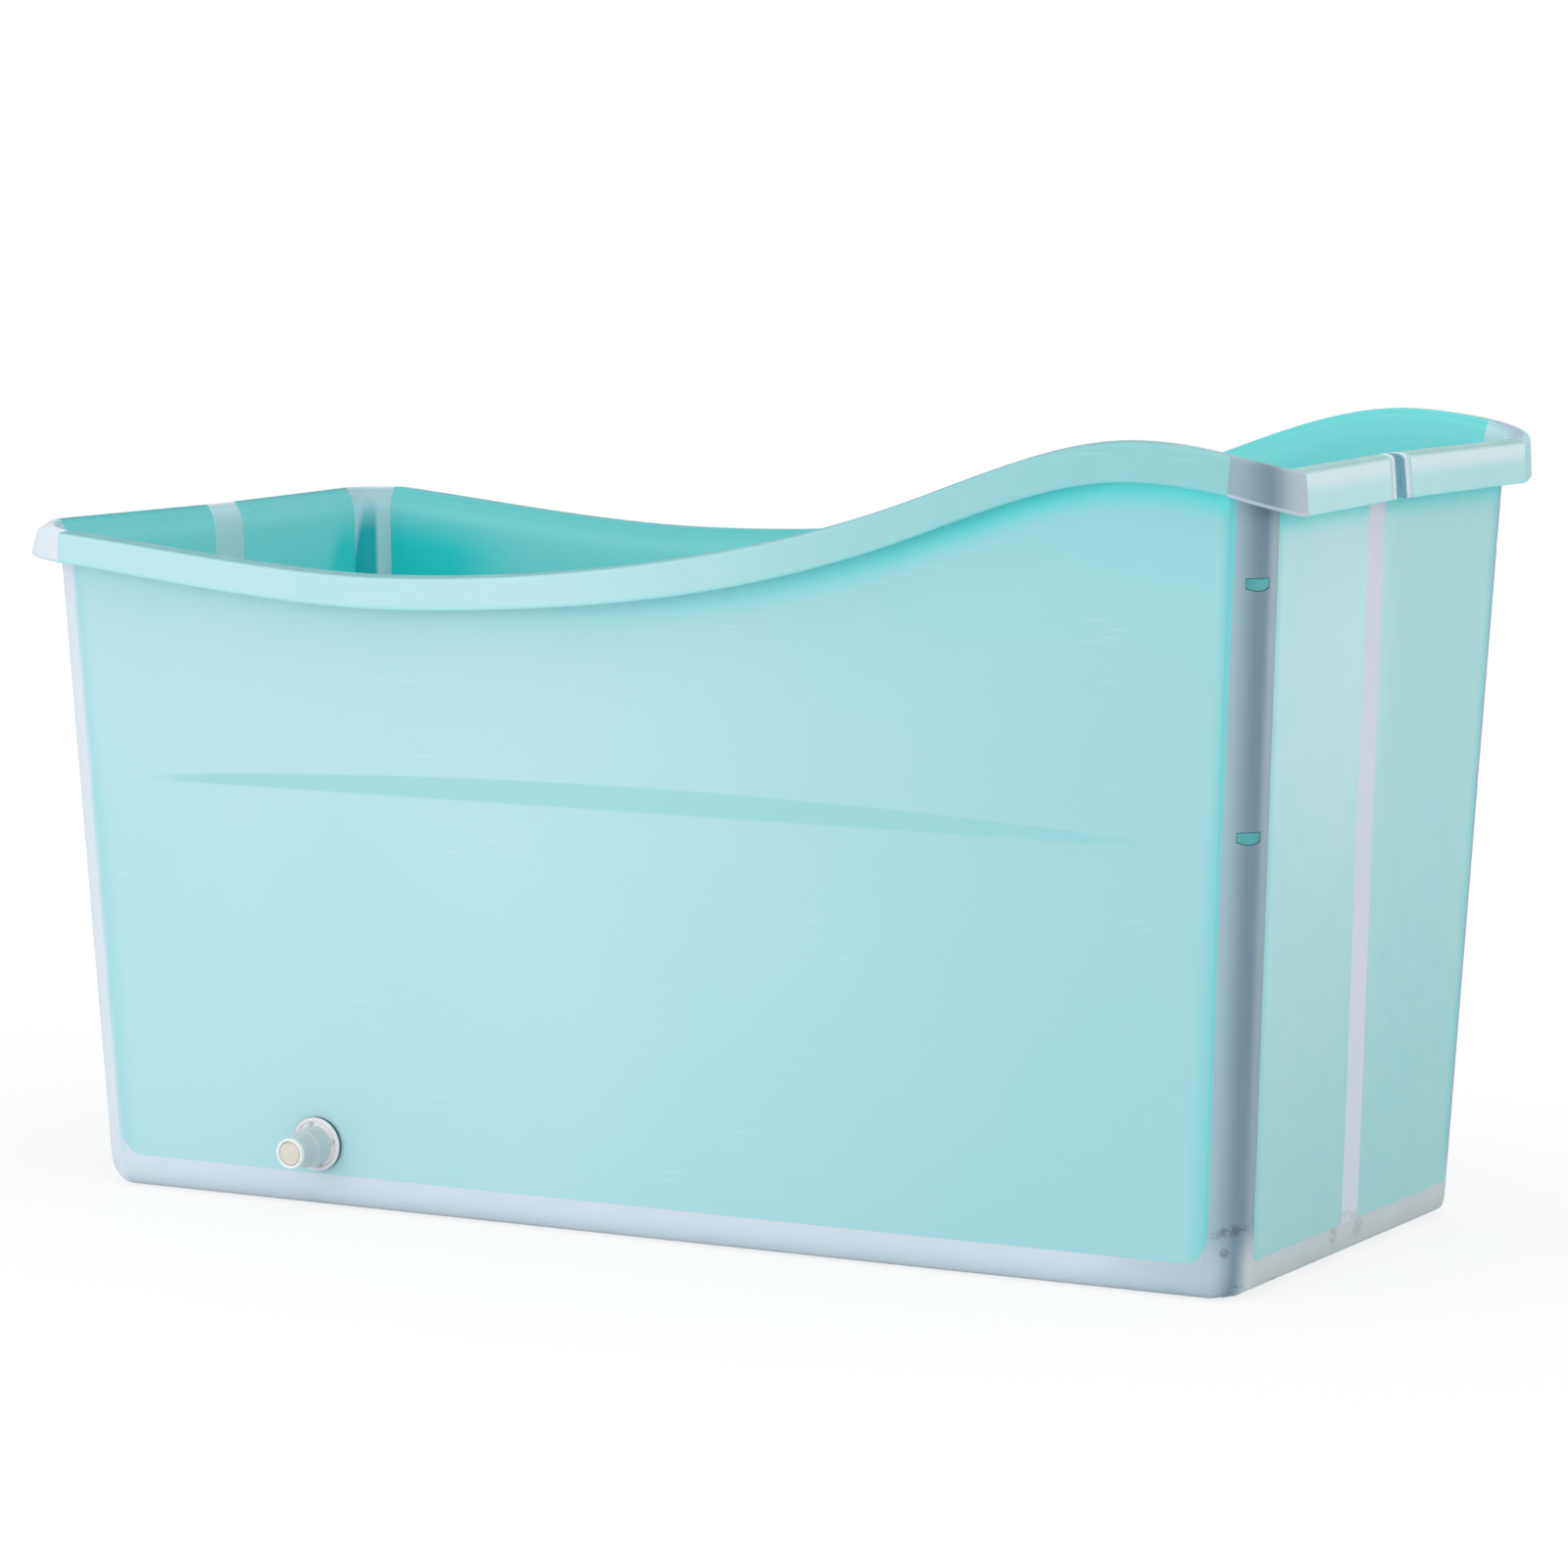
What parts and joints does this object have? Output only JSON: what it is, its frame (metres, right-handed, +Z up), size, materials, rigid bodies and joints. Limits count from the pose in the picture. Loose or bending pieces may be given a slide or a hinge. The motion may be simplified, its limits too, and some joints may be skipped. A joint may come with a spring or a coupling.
{
  "type": "foldable bathtub",
  "caption": "Deep foldable bathtub of stiff panels joined by soft hinge strips, with a raised head end, a rolled rim and a plugged drain spout low in the front side.",
  "frame": {"origin": "middle of the tub's outline, on the surface that the tub stands on", "axes": "+X along the tub from the low drain end to the high head end, +Y from the front side with the drain to the rear side, +Z up"},
  "size_m": [1.0852, 0.5114, 0.619],
  "materials": {
    "panel": "satin, pale mint, with a fine grain",
    "soft_hinge": "translucent pale blue-grey, satin",
    "corner_hinge": "translucent blue-grey, satin",
    "link": "teal, satin",
    "drain_plastic": "white, smooth",
    "plug": "cream, satin",
    "seal": "dark teal, matte"
  },
  "bodies": {
    "front_side": {"front_panel": "panel", "front_base_band": "soft_hinge", "front_low_corner_strip": "corner_hinge", "front_high_corner_strip": "corner_hinge", "front_low_lower_link": "link", "front_low_upper_link": "link", "front_high_lower_link": "link", "front_high_upper_link": "link", "front_low_gusset": "soft_hinge", "front_high_gusset": "soft_hinge", "drain_gasket": "seal", "drain_body": "drain_plastic", "drain_spout": "drain_plastic", "drain_washer": "seal", "drain_nut": "drain_plastic"},
    "rear_side": {"rear_panel": "panel", "rear_base_band": "soft_hinge", "rear_low_corner_strip": "corner_hinge", "rear_high_corner_strip": "corner_hinge", "rear_low_lower_link": "link", "rear_low_upper_link": "link", "rear_high_lower_link": "link", "rear_high_upper_link": "link", "rear_low_gusset": "soft_hinge", "rear_high_gusset": "soft_hinge"},
    "low_end_front": {"low_end_front_panel": "panel", "low_end_front_strip": "soft_hinge", "low_end_front_band": "soft_hinge"},
    "low_end_rear": {"low_end_rear_panel": "panel", "low_end_rear_strip": "soft_hinge", "low_end_rear_band": "soft_hinge"},
    "high_end_front": {"high_end_front_panel": "panel", "high_end_front_strip": "soft_hinge", "high_end_front_band": "soft_hinge"},
    "high_end_rear": {"high_end_rear_panel": "panel", "high_end_rear_strip": "soft_hinge", "high_end_rear_band": "soft_hinge"},
    "floor_front": {"front_floor_panel": "panel", "front_floor_seam_strip": "soft_hinge"},
    "floor_rear": {"rear_floor_panel": "panel", "rear_floor_seam_strip": "soft_hinge"},
    "plug": {"drain_plug": "plug"}
  },
  "joints": [
    {"name": "fold", "type": "hinge", "parent": "front_side", "child": "low_end_front", "pos_m": [-0.4888, -0.181, 0], "axis": [0.0499, 0.0499, -0.9975], "range_deg": [0, 86], "deforming": ["front_low_gusset", "rear_low_gusset"]},
    {"name": "low_middle", "type": "hinge", "parent": "low_end_front", "child": "low_end_rear", "pos_m": [-0.50197, 0, 0], "axis": [-0.0536, 0, 0.9986], "range_deg": [0, 180]},
    {"name": "rear_side_turn", "type": "hinge", "parent": "low_end_rear", "child": "rear_side", "pos_m": [-0.4888, 0.181, 0], "axis": [0.0499, -0.0499, -0.9975], "range_deg": [0, 90]},
    {"name": "high_corner", "type": "hinge", "parent": "front_side", "child": "high_end_front", "pos_m": [0.4888, -0.181, 0], "axis": [0.0499, -0.0499, 0.9975], "range_deg": [0, 90], "deforming": ["front_high_gusset", "rear_high_gusset"]},
    {"name": "high_middle", "type": "hinge", "parent": "high_end_front", "child": "high_end_rear", "pos_m": [0.49929, 0, 0], "axis": [-0.0528, 0, -0.9986], "range_deg": [0, 180]},
    {"name": "floor_front_lift", "type": "hinge", "parent": "front_side", "child": "floor_front", "pos_m": [0, -0.1937, 0.0035], "axis": [1, 0, 0], "range_deg": [0, 95]},
    {"name": "floor_rear_lift", "type": "hinge", "parent": "rear_side", "child": "floor_rear", "pos_m": [0, 0.1937, 0.0035], "axis": [-1, 0, 0], "range_deg": [0, 95]},
    {"name": "plug_pull", "type": "slide", "parent": "front_side", "child": "plug", "axis": [0, -0.9991, -0.0417], "range_m": [0, 0.03]}
  ],
  "couplings": [
    {"joint": "low_middle", "follows": "fold", "ratio": 2},
    {"joint": "rear_side_turn", "follows": "fold", "ratio": 1},
    {"joint": "high_corner", "follows": "fold", "ratio": 0.9973},
    {"joint": "high_middle", "follows": "fold", "ratio": 1.9946},
    {"joint": "floor_front_lift", "follows": "fold", "ratio": 1.067},
    {"joint": "floor_rear_lift", "follows": "fold", "ratio": 1.067}
  ]
}
